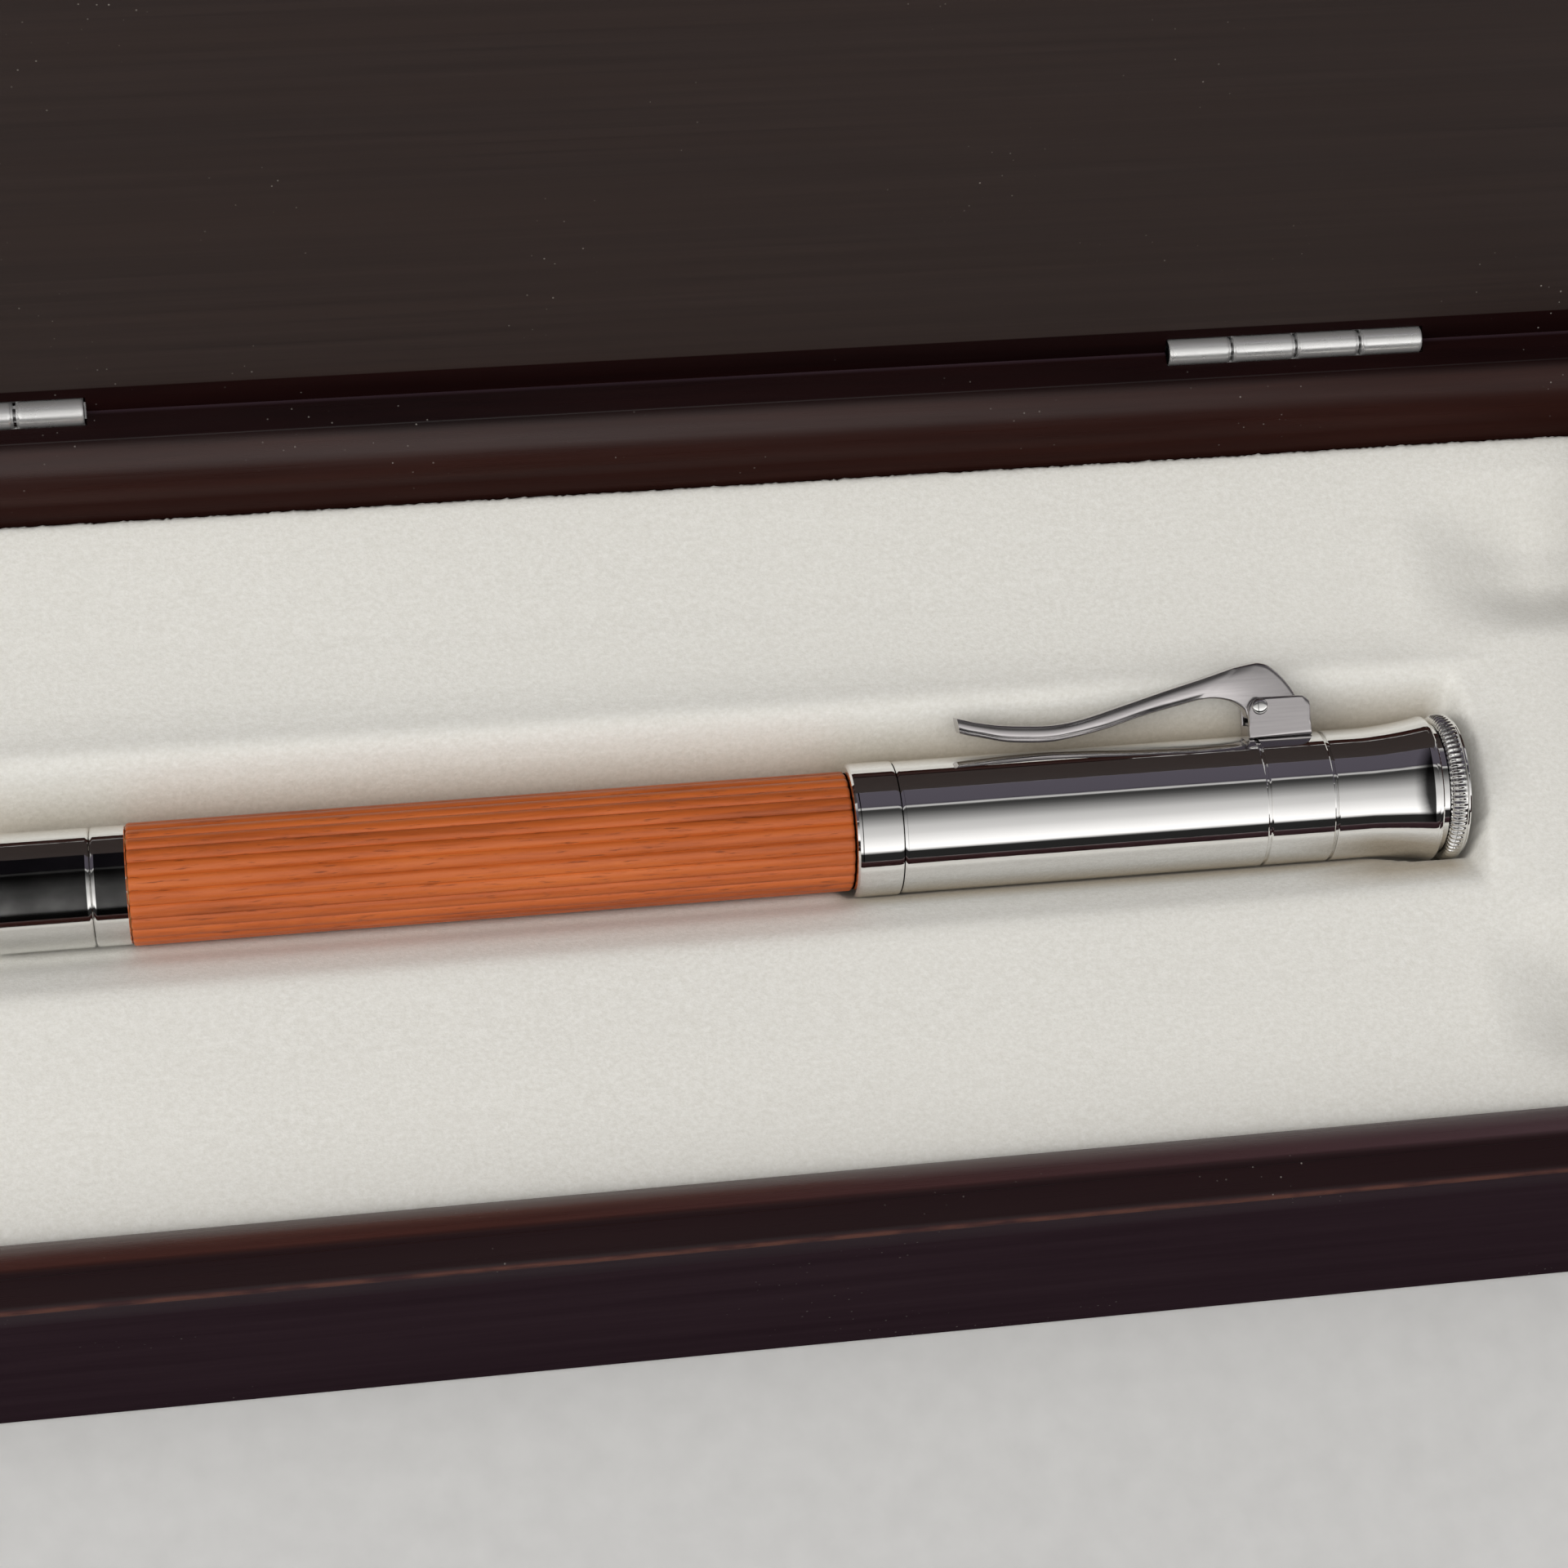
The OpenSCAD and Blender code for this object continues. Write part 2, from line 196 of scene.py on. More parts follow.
# ---------------------------------------------------------------- materials
DUST = (0.5, 0.46, 0.42)


def dust(m):
    """Sparse small specks: 1 on a speck."""
    speck = m.range(m.voronoi(900.0), 0.05, 0.09, 1.0, 0.0)
    patch = m.ramp(m.noise(60.0, 3), [(0.56, 0.0), (0.68, 1.0)])
    return m.times(speck, patch)


def lacquer(name):
    """Dark stained wood, redder on the moulding, with painted light and shade: the land near-black as a
    painted reflection of the dark lid and lighter at the front, the inside darkened away from the front
    wall, a painted purple-grey reflection on the front wall growing to the right, matt outer faces with a
    painted purple reflection of a dark table over their stain, and a brown painted highlight along the outer
    arrises.
    """
    m = Mat(name)
    grain = m.grain((18, 300, 300), 6, 0.65, 0.4)
    pores = m.grain((60, 2600, 2600), 3, 0.6)
    x, y, z = m.sep()
    outer = m.math("MAXIMUM", m.range(m.math("ABSOLUTE", x), 0.0996, 0.09995, 0.0, 1.0),
                   m.range(m.math("ABSOLUTE", y), 0.0416, 0.04195, 0.0, 1.0))
    inner = m.math("SUBTRACT", 1.0, outer)
    land = m.range(z, 0.03655, 0.0369, 0.0, 1.0)
    front = m.range(y, -0.030, -0.032, 0.0, 1.0)
    not_front = m.range(y, -0.032, -0.030, 0.0, 1.0)
    back = m.range(y, 0.030, 0.032, 0.0, 1.0)

    base = m.ramp(grain, [(0.32, (0.046, 0.0160, 0.0135)), (0.7, (0.074, 0.0270, 0.0220))])
    # painted shade: the inside of the back and end walls darkened, so the front wall's moulding reads as lit
    base = m.mix(not_front, base, (0.42, 0.40, 0.38), "MULTIPLY")
    # painted reflection: purple-grey over the front wall's moulding, growing towards the right
    base = m.mix(m.times(front, m.range(x, -0.02, 0.075, 0.0, 0.9)), base, (0.070, 0.040, 0.048))
    # painted reflection: the land painted near-black for the dark open lid it mirrors
    base = m.mix(land, base, m.ramp(grain, [(0.32, (0.0050, 0.0012, 0.0012)),
                                            (0.7, (0.0105, 0.0026, 0.0024))]))
    # painted light: the front wall's land lighter and purple
    base = m.mix(m.times(land, m.times(front, 0.6)), base, (0.0200, 0.0105, 0.0120))
    # outer faces: dark stain with a painted purple reflection of a dark table
    base = m.mix(outer, base, m.ramp(grain, [(0.32, (0.0225, 0.0128, 0.0172)),
                                             (0.7, (0.0320, 0.0190, 0.0245))]))
    # painted highlight: a brown band along the top of the outer faces, broken up by noise
    highlight_breaks = m.range(m.grain((160, 600, 600), 3, 0.6), 0.35, 0.55, 0.25, 1.0)
    arris = m.times(m.band(z, 0.0361, 0.0364, 0.0368, 0.03698), outer)
    base = m.mix(m.times(arris, highlight_breaks), base, (0.105, 0.046, 0.036))
    base = m.mix(m.times(dust(m), 0.4), base, DUST)

    rough = m.math("ADD", m.range(pores, 0.3, 0.8, 0.25, 0.37), m.times(outer, 0.15))
    shine = m.math("SUBTRACT", 0.24, m.times(outer, 0.23))
    back_shine = m.times(m.times(back, inner), m.range(z, 0.0325, 0.0355, -0.22, 0.3))
    shine = m.times(m.math("ADD", shine, back_shine), m.range(x, -0.02, 0.075, 1.0, 0.35))
    shine = m.times(shine, m.math("MAXIMUM", not_front, m.range(z, 0.0325, 0.0350, 0.0, 1.0)))
    return m.set(Base_Color=base, Roughness=rough, Normal=m.bump(pores, 0.00001, 0.35),
                 Specular_IOR_Level=shine)


def lid_wood():
    """Dark satin board with fine lines along X inside; outside, and on the strip along the hinge edge, the
    glossier near-black of the base's land, painted shade on that strip.
    """
    m = Mat("lid_wood")
    a = math.radians(LID_OPEN)
    inward = (0.0, -math.sin(a), -math.cos(a))
    along = (0.0, -math.cos(a), math.sin(a))
    hinge = (0, AXIS_Y * MM, BASE_H * MM)
    depth = m.math("SUBTRACT", m.dot(inward), sum(n * q for n, q in zip(inward, hinge)))
    reach = m.math("SUBTRACT", m.dot(along), sum(n * q for n, q in zip(along, hinge)))
    inside = m.times(m.range(depth, -0.0004, -0.0002, 0.0, 1.0),
                     m.range(reach, STRIP_W * MM, STRIP_W * MM + 0.0001, 0.0, 1.0))
    lines = m.grain((14, 1500, 1500), 5, 0.7)
    long = m.grain((9, 260, 260), 4, 0.6, 0.3)
    satin = m.ramp(lines, [(0.25, (0.016, 0.0098, 0.0088)), (0.75, (0.030, 0.0190, 0.0165))])
    satin = m.mix(m.range(long, 0.35, 0.7, 0.0, 0.5), satin, (0.026, 0.0150, 0.0120))
    # near-black as on the base's land: painted shade where it shows on the strip along the hinge edge
    red = m.ramp(long, [(0.32, (0.0045, 0.0010, 0.0011)), (0.7, (0.0110, 0.0028, 0.0027))])
    base = m.mix(m.times(dust(m), 0.5), m.mix(inside, red, satin), DUST)
    return m.set(Base_Color=base, Roughness=m.math("ADD", m.times(inside, 0.14), 0.38),
                 Normal=m.bump(lines, 0.00002, 0.4),
                 Specular_IOR_Level=m.math("ADD", m.times(inside, 0.28), 0.1))


def velour():
    """Cream pile with a fine tuft pattern, with brown painted shade on the cloth beside the pen and under
    the crown.
    """
    m = Mat("velour")
    pile = m.noise(4200.0, 3, 0.7)
    tuft = m.grain((1900, 2500, 2200), 3, 0.6)
    nap = m.grain((260, 420, 300), 4, 0.6)
    cloud = m.noise(34.0, 3, 0.5)
    base = m.ramp(tuft, [(0.3, (0.700, 0.690, 0.645)), (0.7, (0.800, 0.795, 0.760))])
    base = m.mix(m.range(cloud, 0.35, 0.65, 0.0, 0.2), base, (0.765, 0.755, 0.71))
    base = m.mix(m.range(pile, 0.35, 0.6, 0.16, 0.0), base, (0.56, 0.545, 0.50))
    base = m.mix(m.times(dust(m), 0.2), base, (0.45, 0.42, 0.38))

    x, y, _ = m.sep()
    # painted shade: brown darkening of the cloth behind and in front of the pen and under the crown's flare
    rear = m.band(y, 0.0035, 0.0055, 0.0066, 0.0098)
    front = m.band(y, -0.0080, -0.0066, 0.0035, 0.0055)
    hollow = m.times(m.range(x, 0.057, 0.066, 0.0, 1.0), m.band(y, -0.0108, -0.0085, 0.0, 0.002))
    front = m.times(m.math("MAXIMUM", front, hollow), m.range(x, 0.013, 0.016, 0.0, 1.0))
    along = m.times(m.range(x, 0.010, 0.018, 0.7, 1.0), m.range(x, 0.0725, 0.0750, 1.0, 0.0))
    painted_pen_shade = m.times(m.math("MAXIMUM", rear, front), along)
    base = m.mix(painted_pen_shade, base, (0.62, 0.55, 0.46), "MULTIPLY")

    soft = m.bump(pile, 0.0001, 0.36, m.bump(nap, 0.0001, 0.05))
    return m.set(Base_Color=base, Roughness=0.92, Normal=m.bump(tuft, 0.00012, 0.23, soft),
                 Sheen_Weight=0.3, Sheen_Roughness=0.45, Sheen_Tint=(0.97, 0.95, 0.91),
                 Specular_IOR_Level=0.12)


def barrel_wood_mat():
    """Orange-red wood with dark streaks and pores along X."""
    m = Mat("ribbed_wood")
    streak = m.grain((38, 520, 520), 6, 0.7, 0.8)
    fine = m.grain((150, 3600, 3600), 4, 0.75)
    pore = m.range(m.grain((420, 4200, 4200), 3, 0.6), 0.28, 0.4, 1.0, 0.0)
    base = m.ramp(streak, [(0.28, (0.24, 0.046, 0.008)), (0.5, (0.46, 0.098, 0.017)),
                           (0.72, (0.59, 0.148, 0.029))])
    base = m.mix(m.range(fine, 0.35, 0.75, 0.0, 0.45), base, (0.54, 0.13, 0.030))
    base = m.mix(m.times(pore, 0.65), base, (0.12, 0.024, 0.007))
    return m.set(Base_Color=base, Roughness=m.range(fine, 0.3, 0.8, 0.34, 0.55),
                 Normal=m.bump(m.math("SUBTRACT", fine, pore), 0.00004, 0.5),
                 Coat_Weight=0.12, Coat_Roughness=0.25)


def metal(name, color=(0.83, 0.825, 0.81), rough=0.045, brushed=0.0, metallic=1.0):
    """Polished to brushed metal with hair lines along X and faint smears."""
    m = Mat(name)
    hair = m.grain((160, 3800, 3800), 3, 0.6)
    smear = m.noise(140.0, 4, 0.6)
    polish = m.range(smear, 0.4, 0.7, rough, rough * 1.9)
    tint = m.mix(m.range(smear, 0.4, 0.7, 0.0, 0.2), color, tuple(c * 0.86 for c in color))
    lines = m.range(hair, 0.3, 0.7, 0.0, min(0.9, brushed * 3.5))
    tint = m.mix(lines, tint, tuple(c * 0.72 for c in color))
    return m.set(Base_Color=tint, Metallic=metallic,
                 Roughness=m.math("ADD", polish, m.times(hair, brushed)),
                 Normal=m.bump(hair, 0.000004 + 0.00003 * brushed, 0.3))


def plain(name, c1, c2, scale, rough, bump=0.00005, metallic=0.0):
    """Two close colours and a varying roughness, for the parts that are hardly seen."""
    m = Mat(name)
    f = m.noise(scale, 5, 0.6)
    return m.set(Base_Color=m.ramp(f, [(0.3, c1), (0.7, c2)]),
                 Roughness=m.range(f, 0.2, 0.8, rough * 0.8, min(1.0, rough * 1.15)),
                 Normal=m.bump(f, bump, 0.4), Metallic=metallic)


M_LACQUER = lacquer("lacquered_wood")
M_LID = lid_wood()
M_VELOUR = velour()
M_RIBBED = barrel_wood_mat()
M_METAL = metal("polished_nickel")
M_CAP = metal("cap_metal", (0.90, 0.895, 0.885), 0.028)
M_SATIN = metal("satin_nickel", (0.58, 0.555, 0.56), 0.10, 0.09)
M_HINGE = metal("hinge_nickel", (0.93, 0.93, 0.925), 0.22, metallic=0.8)
M_STEEL = metal("spring_steel", (0.6, 0.6, 0.6), 0.25, 0.1)
M_BRASS = plain("brass", (0.62, 0.46, 0.2), (0.78, 0.6, 0.3), 400, 0.25, 0.00001, 1.0)
M_NIB = plain("nib_metal", (0.80, 0.62, 0.32), (0.86, 0.7, 0.42), 300, 0.12, 0.000005, 1.0)
M_BLACK = plain("black_plastic", (0.012, 0.012, 0.013), (0.02, 0.02, 0.022), 500, 0.2, 0.000005)
M_CONVERTER = plain("converter_plastic", (0.22, 0.25, 0.28), (0.3, 0.34, 0.38), 300, 0.15, 0.000005)
M_PANEL = plain("panel", (0.16, 0.10, 0.06), (0.26, 0.18, 0.12), 180, 0.6)
M_FELT = plain("felt", (0.02, 0.02, 0.022), (0.05, 0.05, 0.055), 2500, 0.95, 0.0002)
M_FOAM = plain("tray_foam", (0.5, 0.48, 0.44), (0.62, 0.6, 0.55), 1500, 0.9, 0.0002)


# ---------------------------------------------------------------- mesh helpers
def shade(bm, degrees):
    """Smooth faces, with sharp edges where the surface turns by more than the angle."""
    for f in bm.faces:
        f.smooth = True
    for e in bm.edges:
        e.smooth = not (len(e.link_faces) == 2 and e.calc_face_angle(0.0) > math.radians(degrees))


def add_object(name, me):
    ob = bpy.data.objects.new(name, me)
    bpy.context.scene.collection.objects.link(ob)
    return ob


def new_piece(name, verts, faces, mat, body, replaces=(), smooth=28.0):
    me = bpy.data.meshes.new(name)
    me.from_pydata([tuple(v) for v in verts], [], faces)
    me.validate()
    bm = bmesh.new()
    bm.from_mesh(me)
    bmesh.ops.remove_doubles(bm, verts=bm.verts, dist=1e-8)
    bmesh.ops.recalc_face_normals(bm, faces=bm.faces)
    shade(bm, smooth)
    bm.to_mesh(me)
    bm.free()
    ob = add_object(name, me)
    me.materials.append(mat)
    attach(ob, body)
    if replaces:
        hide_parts(*replaces)
    return ob


def loft(rings, n):
    """Quads between consecutive rings of n vertices."""
    return [(j * n + i, j * n + (i + 1) % n, (j + 1) * n + (i + 1) % n, (j + 1) * n + i)
            for j in range(rings - 1) for i in range(n)]


def capped_loft(rings, n):
    """A loft closed by a face at each end."""
    first, last = range(n - 1, -1, -1), range((rings - 1) * n, rings * n)
    return loft(rings, n) + [tuple(first), tuple(last)]


def prism(bm, rows):
    """Closes two equal rings of vertices into a solid."""
    n = len(rows[0])
    for i in range(n):
        j = (i + 1) % n
        bm.faces.new((rows[0][i], rows[0][j], rows[1][j], rows[1][i]))
    bm.faces.new(rows[0][::-1])
    bm.faces.new(rows[1])
    bmesh.ops.recalc_face_normals(bm, faces=bm.faces)


def catmull(pts, n):
    """Open Catmull-Rom line through the points."""
    P = [np.array(q, float) for q in pts]
    P = [2 * P[0] - P[1]] + P + [2 * P[-1] - P[-2]]
    out = []
    for p0, p1, p2, p3 in zip(P, P[1:], P[2:], P[3:]):
        for k in range(n):
            t = k / n
            square = (2 * p0 - 5 * p1 + 4 * p2 - p3) * t * t
            cube = (3 * p1 - p0 - 3 * p2 + p3) * t ** 3
            out.append(0.5 * (2 * p1 + (p2 - p0) * t + square + cube))
    return out + [P[-2]]


# ---------------------------------------------------------------- walls
def ovolo_line(n=22):
    """The rounded moulding, from the land's edge down to the lining."""
    start = math.radians(20)
    s0, c0 = math.sin(start), math.cos(start)
    return [(LAND_W + (WALL_T - LAND_W) * (math.sin(a) - s0) / (1 - s0),
             BASE_H - OVOLO_H * (c0 - math.cos(a)) / c0)
            for a in np.linspace(start, math.pi / 2, n)]


def wall_profile(back):
    """[(inward, up)]. The back wall's arris is sharp, with a bead outside that shuts out light."""
    r = 0.03 if back else 0.6
    outside = [(0.1, FOOT), (0, FOOT + 0.1)]
    if back:
        outside += [(0, BASE_H - 1), (-0.15, BASE_H - 0.8), (-0.15, BASE_H - 0.15), (0, BASE_H - 0.08)]
    arris = [(r - r * math.cos(a), BASE_H - r + r * math.sin(a)) for a in np.linspace(0, math.pi / 2, 8)]
    land = [(LAND_W - 0.16, BASE_H), (LAND_W - 0.05, BASE_H - 0.02), (LAND_W + 0.02, BASE_H - 0.09)]
    low = [(WALL_T, 4.65), (WALL_T - 3.6, 4.65), (WALL_T - 3.6, FOOT)]
    return outside + arris + land + ovolo_line()[1:] + low


def pocket_cutter(sg):
    """A rod round the hinge axis, as long as the hinge and a little more."""
    n = 40
    middle, half = sg * HINGE_X, HINGE_L / 2 + POCKET_END
    turns = [2 * math.pi * i / n for i in range(n)]
    bm = bmesh.new()
    prism(bm, [[bm.verts.new((x * MM, (AXIS_Y + POCKET_R * math.cos(a)) * MM,
                              (BASE_H + POCKET_R * math.sin(a)) * MM)) for a in turns]
               for x in (middle - half, middle + half)])
    me = bpy.data.meshes.new("cutter")
    bm.to_mesh(me)
    bm.free()
    return add_object("cutter", me)


def carve_pockets(ob):
    """Cuts the round mortises for the two hinge barrels out of a piece, at rest."""
    cutters = [pocket_cutter(sg) for sg in (-1, 1)]
    for cutter in cutters:
        cut = ob.modifiers.new("pocket", "BOOLEAN")
        cut.operation, cut.solver, cut.object = "DIFFERENCE", "EXACT", cutter
    bpy.context.view_layer.update()
    me = bpy.data.meshes.new_from_object(ob.evaluated_get(bpy.context.evaluated_depsgraph_get()))
    ob.modifiers.clear()
    ob.data = me
    for cutter in cutters:
        bpy.data.objects.remove(cutter)
    bm = bmesh.new()
    bm.from_mesh(me)
    shade(bm, 30)
    bm.to_mesh(me)
    bm.free()
    ob.modifiers.new("normals", "WEIGHTED_NORMAL").keep_sharp = True


def wall(side):
    """One side of the base: the profile is swept along the wall with mitred ends."""
    prof = wall_profile(side == "back")
    half = (CASE_L if side in ("front", "back") else CASE_W) / 2 - 0.012
    placed = {"front": lambda t, u: (t, -CASE_W / 2 + u), "back": lambda t, u: (t, CASE_W / 2 - u),
              "left": lambda t, u: (-CASE_L / 2 + u, t), "right": lambda t, u: (CASE_L / 2 - u, t)}[side]
    verts = [[c * MM for c in (*placed(sg * (half - u), u), z)] for sg in (-1, 1) for u, z in prof]
    ob = new_piece("wall_" + side, verts, capped_loft(2, len(prof)), M_LACQUER, "case",
                   ["base_%s_wall" % side], 30.0)
    if side == "back":
        carve_pockets(ob)


for side in ("front", "back", "left", "right"):
    wall(side)


# ---------------------------------------------------------------- lid
def lid_piece():
    """The board: a strip along the hinge edge, darkened by painted shade, rounded outer edges, hinge
    mortises.
    """
    hx, hy, z0, z1 = CASE_L / 2, CASE_W / 2, BASE_H + 0.08, BASE_H + LID_T
    prof = [(-hy, z0), (hy - STRIP_W, z0), (hy, BASE_H + 0.02), (hy, z1), (-hy, z1)]
    turn = (Matrix.Translation((0, AXIS_Y, BASE_H)) @ Matrix.Rotation(math.radians(-LID_OPEN), 4, "X")
            @ Matrix.Translation((0, -AXIS_Y, -BASE_H)))
    bm = bmesh.new()
    weight = bm.edges.layers.float.new("bevel_weight_edge")
    rows = [[bm.verts.new((turn @ Vector((x, y, z))) * MM) for y, z in prof] for x in (-hx, hx)]
    prism(bm, rows)
    outside = {v for row in rows for v in (row[3], row[4])}
    inside_strip = {row[1] for row in rows}
    hinge_edge = {row[2] for row in rows}
    for e in bm.edges:
        ends = set(e.verts)
        if ends <= outside:
            e[weight] = 1.0
        elif ends <= inside_strip or ends == hinge_edge:
            e[weight] = 0.01
        else:
            e[weight] = 0.1
    me = bpy.data.meshes.new("lid_panel")
    bm.to_mesh(me)
    bm.free()
    ob = add_object("lid_panel", me)
    me.materials.append(M_LID)
    bevel = ob.modifiers.new("edge", "BEVEL")
    bevel.limit_method = "WEIGHT"
    bevel.width = 2.5 * MM
    bevel.segments = 6
    carve_pockets(ob)
    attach(ob, "lid")
    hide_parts("lid_board")


# ---------------------------------------------------------------- velour bed
# half cross-sections beside the groove: [distance from the pen's axis, height]
BACK_BED = [(6.6, 24.6), (7.6, 25.8), (8.6, 27.0), (9.6, 28.2), (10.3, 29.05), (11, 29.45), (11.9, 29.45),
            (13.5, 29.0), (15.5, 28.7), (18, 28.65), (22, 28.8), (27, 29.3), (31, 29.8), (34.4, 30.2)]
FRONT_BED = [(6.5, 24.4), (7.2, 25.5), (8.0, 26.5), (8.8, 27.1), (9.6, 27.65), (10.3, 28.2), (11, 28.55),
             (12, 28.7), (18, 28.9), (24, 29.2), (30, 29.6), (34.4, 29.9)]
GROOVE_R, GROOVE_LEFT, GROOVE_RIGHT = 5.7, -82.6, 74.4
WELL_X, WELL_DEPTH = 72.0, 3.6
VELOUR_T = 0.9


def smooth_step(t):
    t = np.clip(t, 0, 1)
    return t * t * (3 - 2 * t)


def blurred(row, reach, sigma):
    """Gaussian blur of a row of heights; reach and sigma are in steps."""
    k = np.exp(-0.5 * (np.arange(-reach, reach + 1) / sigma) ** 2)
    return np.convolve(np.pad(row, reach, mode="edge"), k / k.sum(), mode="valid")


def cross_section(across):
    """Height of the bed at a signed distance from the pen's axis, with softened corners."""
    arc = [(GROOVE_R * math.sin(a), PEN_Z - GROOVE_R * math.cos(a)) for a in np.radians(range(0, 61, 6))]
    reach = np.linspace(0, 36, 1441)
    front, back = (np.interp(reach, *np.array(arc + half).T) for half in (FRONT_BED, BACK_BED))
    line = blurred(np.concatenate([front[::-1], back[1:]]), 60, 18)
    return np.interp(across, np.linspace(-36, 36, 2881), line)


def bed():
    nx, ny = 560, 210
    ex, ey = IN_X - 0.15, IN_Y - 0.15
    X, Y = np.meshgrid(np.linspace(-ex, ex, nx), np.linspace(-ey, ey, ny), indexing="ij")
    ya, ax = np.abs(Y - PEN_Y), np.abs(X)
    Z = cross_section(Y - PEN_Y)
    # closed ends of the groove: steep behind the crown, slow beside it
    beside = smooth_step((ya - 8) / 5)
    steep, slow = smooth_step((X - GROOVE_RIGHT) / 1.3), smooth_step((X - 68) / 13)
    closed = steep * (1 - beside) + slow * beside + smooth_step((GROOVE_LEFT - X) / 2.6)
    top = 29.3 + 0.3 * smooth_step((ax - 75) / 12)
    Z = Z * (1 - closed) + np.maximum(Z, top) * closed
    # hug the pen: the pile gives way under barrel, cap and crown
    R = 5.68 + 0.6 * smooth_step((X - 14.2) / 1.4) + 0.85 * smooth_step((X - 64.5) / 6.5)
    R = R * np.sqrt(np.clip(1 - (np.maximum(X - 74.2, 0) / 1.5) ** 2, 0, 1))
    under = (ya < R) & (X > -83) & (X < 75.6)
    Z = np.where(under, np.minimum(Z, PEN_Z - np.sqrt(np.maximum(R ** 2 - ya ** 2, 0))), Z)
    # wells at the four ends
    well = smooth_step((ya - 13) / 7.5) * (1 - smooth_step((ya - 23.5) / 8))
    Z = Z - WELL_DEPTH * smooth_step((ax - WELL_X) / 14) * well
    # the closed end beyond the crown stays soft
    tail = smooth_step((X - 74.9) / 0.9)
    Z = Z * (1 - tail) + np.apply_along_axis(blurred, 0, Z, 7, 1.1) * tail
    # pile rolls down where it meets the walls
    edge = np.minimum(ex - ax, ey - np.abs(Y))
    fuzz = RNG.normal(0, 1, Z.shape) + np.roll(RNG.normal(0, 1, Z.shape), 1, 0)
    Z = Z - (0.5 + 0.05 * fuzz) * np.exp(-edge / 0.35)
    # slow unevenness of hand-laid cloth
    for _ in range(26):
        kx, ky, phase = RNG.uniform(0.02, 0.16), RNG.uniform(0.02, 0.2), RNG.uniform(0, 6.28)
        sg = RNG.choice([-1, 1])
        Z = Z + 0.010 * np.sin(kx * X + sg * ky * Y + phase)
    idx = np.arange(nx * ny).reshape(nx, ny)
    quads = np.stack([idx[:-1, :-1], idx[1:, :-1], idx[1:, 1:], idx[:-1, 1:]], -1).reshape(-1, 4)
    verts = np.stack([X, Y, Z], -1).reshape(-1, 3) * MM
    ob = new_piece("velour_bed", verts.tolist(), quads.tolist(), M_VELOUR, "case",
                   ["velour_lining"], 75.0)
    if ob.data.polygons[0].normal.z < 0:
        ob.data.flip_normals()
    thickness = ob.modifiers.new("thickness", "SOLIDIFY")
    thickness.thickness = VELOUR_T * MM
    thickness.offset = -1.0


lid_piece()
bed()


# ---------------------------------------------------------------- pen, turned round its own axis
BORE_R = 5.4
SEAM_S, RING_S, CAP_END_S, MOUTH_END_S = 13.2, 19.6, 54.08, 58.5


def pen_point(s, r, a):
    """s from the crown end, r from the axis, a round it from +Z towards +Y (mm, radians)."""
    return ((PEN_END - s) * MM, (PEN_Y + r * math.sin(a)) * MM, (PEN_Z + r * math.cos(a)) * MM)


def lathe(name, prof, mat, body, replaces=(), seg=160, smooth=28.0, radius=None):
    """Revolves [(r, s)] round the pen axis. radius(r, s, a) may change the radius round the axis.

    Long straight runs get rings next to their ends, so the shading of the ends stays at the ends.
    """
    held = []
    for (r, s), (r2, s2) in zip(prof, prof[1:] + prof[:1]):
        held.append((r, s))
        run = math.hypot(r2 - r, s2 - s)
        if run > 0.9:
            held += [(r + (r2 - r) * d / run, s + (s2 - s) * d / run)
                     for d in (0.1, 0.25, run - 0.25, run - 0.1)]
    turns = [2 * math.pi * i / seg for i in range(seg)]
    verts = [pen_point(s, radius(r, s, a) if radius else r, a) for r, s in held for a in turns]
    last = (len(held) - 1) * seg
    closing = [(last + i, last + (i + 1) % seg, (i + 1) % seg, i) for i in range(seg)]
    return new_piece(name, verts, loft(len(held), seg) + closing, mat, body, replaces, smooth)


def ring_groove(s, w=0.42, d=0.2, r=CAP_R):
    """A soft turned groove, w wide and d deep."""
    half = [(r, 0.6), (r - 0.03, 0.45), (r - d, 0.2)]
    return [(q, s - w * t) for q, t in half] + [(q, s + w * t) for q, t in half[::-1]]


def knurl(r, s, a):
    """Coin-edge teeth on the side towards the flare, fading to a smooth rim at the end."""
    if r < 6.2:
        return r
    depth = 0.2 * min(1.0, max(0.0, (s - 1.0) / 0.45))
    return r - depth * (0.5 - 0.5 * math.cos(80 * a)) ** 0.8


def rib(r, s, a):
    """Rounded ribs along the wood, with narrow grooves between them."""
    if r < 5.2:
        return r
    phase = (a * RIBS / (2 * math.pi)) % 1.0
    u = abs(phase - 0.5) * 2            # 0 on the crest, 1 in the groove
    lift = math.sqrt(max(0.0, 1 - (u * 0.93) ** 2))
    return r - 0.42 * (1 - lift)


cap = [(BORE_R, SEAM_S), (CAP_R - 0.2, SEAM_S), (CAP_R - 0.2, SEAM_S + 0.1), (CAP_R - 0.04, SEAM_S + 0.16),
       (CAP_R, SEAM_S + 0.24)]
cap += ring_groove(RING_S)
cap += [(CAP_R, 30), (CAP_R, CAP_END_S - 0.23), (CAP_R - 0.1, CAP_END_S), (BORE_R, CAP_END_S)]
lathe("cap_body", cap, M_CAP, "pen_cap", ["cap_tube"], 192, 25)

mouth = [(BORE_R, 54.16), (CAP_R - 0.1, 54.16), (CAP_R + 0.06, 54.28), (CAP_R + 0.08, 54.45),
         (CAP_R + 0.08, 57.95), (CAP_R + 0.02, 58.25), (CAP_R - 0.15, 58.44), (CAP_R - 0.4, MOUTH_END_S),
         (BORE_R, MOUTH_END_S)]
lathe("cap_band", mouth, M_CAP, "pen_cap", ["cap_mouth_ring"], 192, 25)

